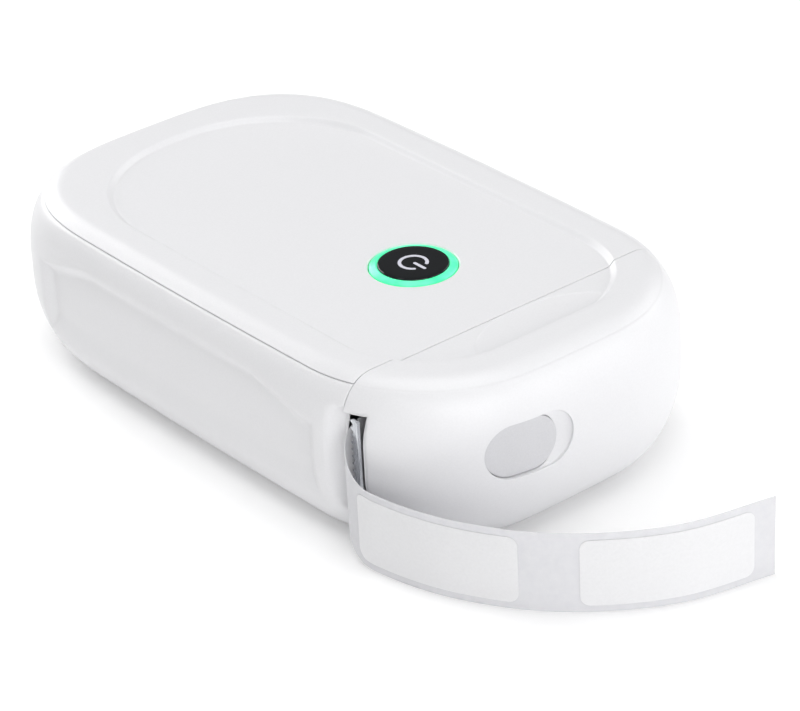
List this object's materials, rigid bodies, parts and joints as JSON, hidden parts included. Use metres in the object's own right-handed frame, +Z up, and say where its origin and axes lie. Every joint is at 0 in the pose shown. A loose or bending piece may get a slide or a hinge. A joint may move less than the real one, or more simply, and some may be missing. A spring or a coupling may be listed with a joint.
{
  "type": "label maker",
  "caption": "Pocket thermal label printer with a rounded white case, a swinging end cover, a lit power button and a curl of labels out of its side slot.",
  "frame": {"origin": "on the flat back of the case, under the middle of the case's plan outline", "axes": "+Z up out of the face with the power button, -Y towards the end with the swinging cover, -X towards the side the labels leave"},
  "size_m": [0.0782, 0.1625, 0.0316],
  "materials": {
    "shell_plastic": "satin moulded ABS",
    "button_plastic": "fine matt moulded ABS",
    "black_acrylic": "polished",
    "light_guide": "translucent, lit green",
    "steel": "bright stamped",
    "aluminium": "satin",
    "gear_nylon": "natural acetal",
    "frame_plastic": "matt moulded ABS",
    "platen_rubber": "ground",
    "circuit_board": "solder mask",
    "chip_plastic": "moulded epoxy",
    "label_paper": "coated thermal paper",
    "backing_paper": "glassine release liner",
    "core_board": "wound cardboard",
    "ceramic": "glazed ceramic",
    "cell_foil": "pouch foil",
    "ribbon_film": "polyimide film"
  },
  "bodies": {
    "base": {"bottom_shell": "shell_plastic", "top_shell": "shell_plastic", "light_ring": "light_guide", "button_board": "circuit_board", "dome_switch": "steel", "ring_led_left": "label_paper", "ring_led_right": "label_paper", "chassis": "frame_plastic", "drive_motor": "steel", "head_frame": "steel", "head_pivot_pin": "steel", "head_spring_upper": "steel", "head_spring_lower": "steel", "head_ribbon": "ribbon_film", "inner_tape": "backing_paper", "sensor_board": "circuit_board", "label_sensor": "chip_plastic", "battery": "cell_foil", "main_pcb": "circuit_board", "wireless_module": "aluminium", "processor": "chip_plastic", "capacitor": "aluminium", "battery_connector": "gear_nylon", "head_connector": "gear_nylon", "usb_socket": "steel", "case_screw_1": "steel", "case_screw_2": "steel", "case_screw_3": "steel", "case_screw_4": "steel", "pcb_screw_1": "steel", "pcb_screw_2": "steel", "pcb_screw_3": "steel", "pcb_screw_4": "steel", "motor_screw_1": "steel", "motor_screw_2": "steel", "cover_hinge_pin": "steel"},
    "cover": {"cover_body": "shell_plastic", "cover_top": "shell_plastic", "cutter_blade": "steel", "platen_frame": "frame_plastic", "release_spring": "steel", "label_tape": "backing_paper", "label_1": "label_paper", "label_2": "label_paper"},
    "platen": {"platen_shaft": "steel", "platen_rubber": "platen_rubber", "platen_gear": "gear_nylon"},
    "release_button": {"release_button": "button_plastic"},
    "latch": {"latch_slider": "gear_nylon"},
    "power_button": {"power_button": "black_acrylic"},
    "roll": {"label_roll": "label_paper", "roll_core": "core_board"},
    "idler": {"idler_gear": "gear_nylon"},
    "pinion": {"motor_pinion": "gear_nylon"},
    "head": {"print_head": "ceramic", "head_heatsink": "aluminium"}
  },
  "joints": [
    {"name": "cover_hinge", "type": "hinge", "parent": "base", "child": "cover", "pos_m": [0.0354, -0.0433, 0.0168], "axis": [0, 0, 1], "range_deg": [0, 95]},
    {"name": "release_press", "type": "slide", "parent": "cover", "child": "release_button", "axis": [0, 1, 0], "range_m": [0, 0.0012], "stiffness_N_per_m": 800, "springref_m": -0.001},
    {"name": "latch_slide", "type": "slide", "parent": "cover", "child": "latch", "axis": [-1, 0, 0], "range_m": [0, 0.0012]},
    {"name": "power_press", "type": "slide", "parent": "base", "child": "power_button", "axis": [0, 0, -1], "range_m": [0, 0.0005], "stiffness_N_per_m": 1500, "springref_m": -0.0005},
    {"name": "roll_spin", "type": "hinge", "parent": "base", "child": "roll", "pos_m": [0.008, -0.026, 0.0165], "axis": [0, 0, 1], "continuous": true},
    {"name": "idler_spin", "type": "hinge", "parent": "base", "child": "idler", "pos_m": [-0.0215, -0.03878, 0.0061], "axis": [0, 0, 1], "continuous": true},
    {"name": "pinion_spin", "type": "hinge", "parent": "base", "child": "pinion", "pos_m": [-0.02, -0.02991, 0.0061], "axis": [0, 0, 1], "continuous": true},
    {"name": "platen_spin", "type": "hinge", "parent": "cover", "child": "platen", "pos_m": [-0.024, -0.04795, 0.0168], "axis": [0, 0, 1], "continuous": true},
    {"name": "head_float", "type": "hinge", "parent": "base", "child": "head", "pos_m": [-0.0191, -0.041, 0.0168], "axis": [0, 0, 1], "range_deg": [-2, 0], "stiffness_Nm_per_rad": 0.05, "springref_deg": 5.73}
  ],
  "couplings": [
    {"joint": "latch_slide", "follows": "release_press", "ratio": 1},
    {"joint": "platen_spin", "follows": "roll_spin", "ratio": -4.8571},
    {"joint": "idler_spin", "follows": "roll_spin", "ratio": 2.8333},
    {"joint": "pinion_spin", "follows": "roll_spin", "ratio": -5.6667}
  ]
}
